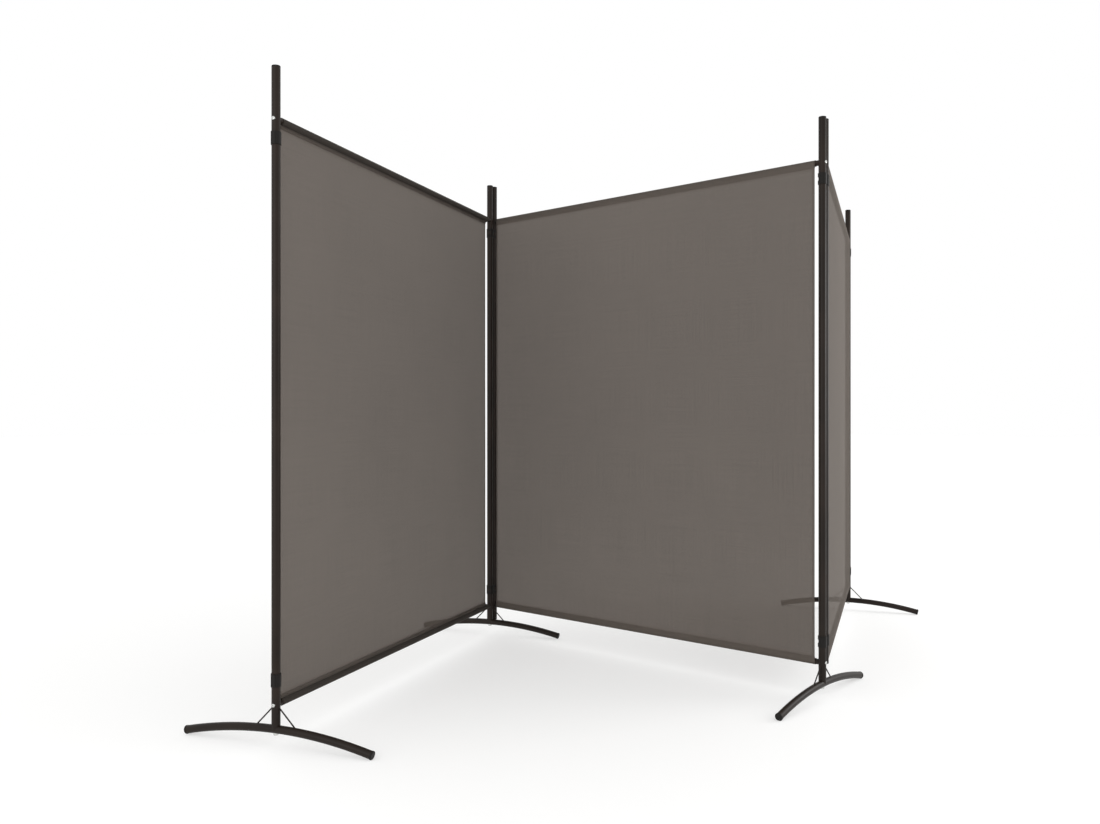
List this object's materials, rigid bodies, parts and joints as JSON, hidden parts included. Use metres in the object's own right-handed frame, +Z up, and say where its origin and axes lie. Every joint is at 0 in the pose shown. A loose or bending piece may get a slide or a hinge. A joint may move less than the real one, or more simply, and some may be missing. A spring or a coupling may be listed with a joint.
{
  "type": "fabric room divider",
  "caption": "Free-standing folding room divider: fabric panels on round steel posts, hinged side by side on arched tube feet.",
  "frame": {"origin": "on the floor, at the middle of the divider's footprint box", "axes": "+X along the middle panel towards its footed post, +Y square to it, away from the viewer, +Z up"},
  "size_m": [1.6924, 2.9142, 1.8],
  "materials": {
    "brown_steel": "satin powder coat",
    "zinc_steel": "bright zinc plate",
    "black_plastic": "matt moulded",
    "taupe_fabric": "plain woven polyester"
  },
  "bodies": {
    "left_panel": {"post_1_lower": "brown_steel", "post_1_upper": "brown_steel", "post_2_left_lower": "brown_steel", "post_2_left_upper": "brown_steel", "left_post_ferrules": "zinc_steel", "left_post_caps": "black_plastic", "left_bottom_bar": "brown_steel", "left_top_bar": "brown_steel", "left_bar_ferrules": "zinc_steel", "left_bar_inserts": "zinc_steel", "left_bar_screws": "zinc_steel", "left_fabric": "taupe_fabric", "foot_1_tube": "brown_steel", "foot_1_braces": "brown_steel", "foot_1_plugs": "black_plastic", "foot_2_tube": "brown_steel", "foot_2_braces": "brown_steel", "foot_2_plugs": "black_plastic", "left_foot_nuts": "zinc_steel", "left_foot_bolts": "zinc_steel", "pole_1_clips": "black_plastic", "pole_2_clips": "black_plastic", "pole_2_rivets": "zinc_steel"},
    "middle_panel": {"post_2_right_lower": "brown_steel", "post_2_right_upper": "brown_steel", "post_3_left_lower": "brown_steel", "post_3_left_upper": "brown_steel", "middle_post_ferrules": "zinc_steel", "middle_post_caps": "black_plastic", "middle_bottom_bar": "brown_steel", "middle_top_bar": "brown_steel", "middle_bar_ferrules": "zinc_steel", "middle_bar_inserts": "zinc_steel", "middle_bar_screws": "zinc_steel", "middle_fabric": "taupe_fabric", "foot_3_tube": "brown_steel", "foot_3_braces": "brown_steel", "foot_3_plugs": "black_plastic", "middle_foot_nuts": "zinc_steel", "middle_foot_bolts": "zinc_steel", "pole_3_clips": "black_plastic", "pole_3_rivets": "zinc_steel"},
    "right_panel": {"post_3_right_lower": "brown_steel", "post_3_right_upper": "brown_steel", "post_4_lower": "brown_steel", "post_4_upper": "brown_steel", "right_post_ferrules": "zinc_steel", "right_post_caps": "black_plastic", "right_bottom_bar": "brown_steel", "right_top_bar": "brown_steel", "right_bar_ferrules": "zinc_steel", "right_bar_inserts": "zinc_steel", "right_bar_screws": "zinc_steel", "right_fabric": "taupe_fabric", "foot_4_tube": "brown_steel", "foot_4_braces": "brown_steel", "foot_4_plugs": "black_plastic", "right_foot_nuts": "zinc_steel", "right_foot_bolts": "zinc_steel", "pole_4_clips": "black_plastic"}
  },
  "joints": [
    {"name": "left_fold", "type": "hinge", "parent": "middle_panel", "child": "left_panel", "pos_m": [-0.57072, 0, 0.9], "axis": [0, 0, -1], "range_deg": [-20, 110]},
    {"name": "right_fold", "type": "hinge", "parent": "middle_panel", "child": "right_panel", "pos_m": [0.82778, 0.02814, 0.9], "axis": [0, 0, -1], "range_deg": [-20, 110]}
  ]
}
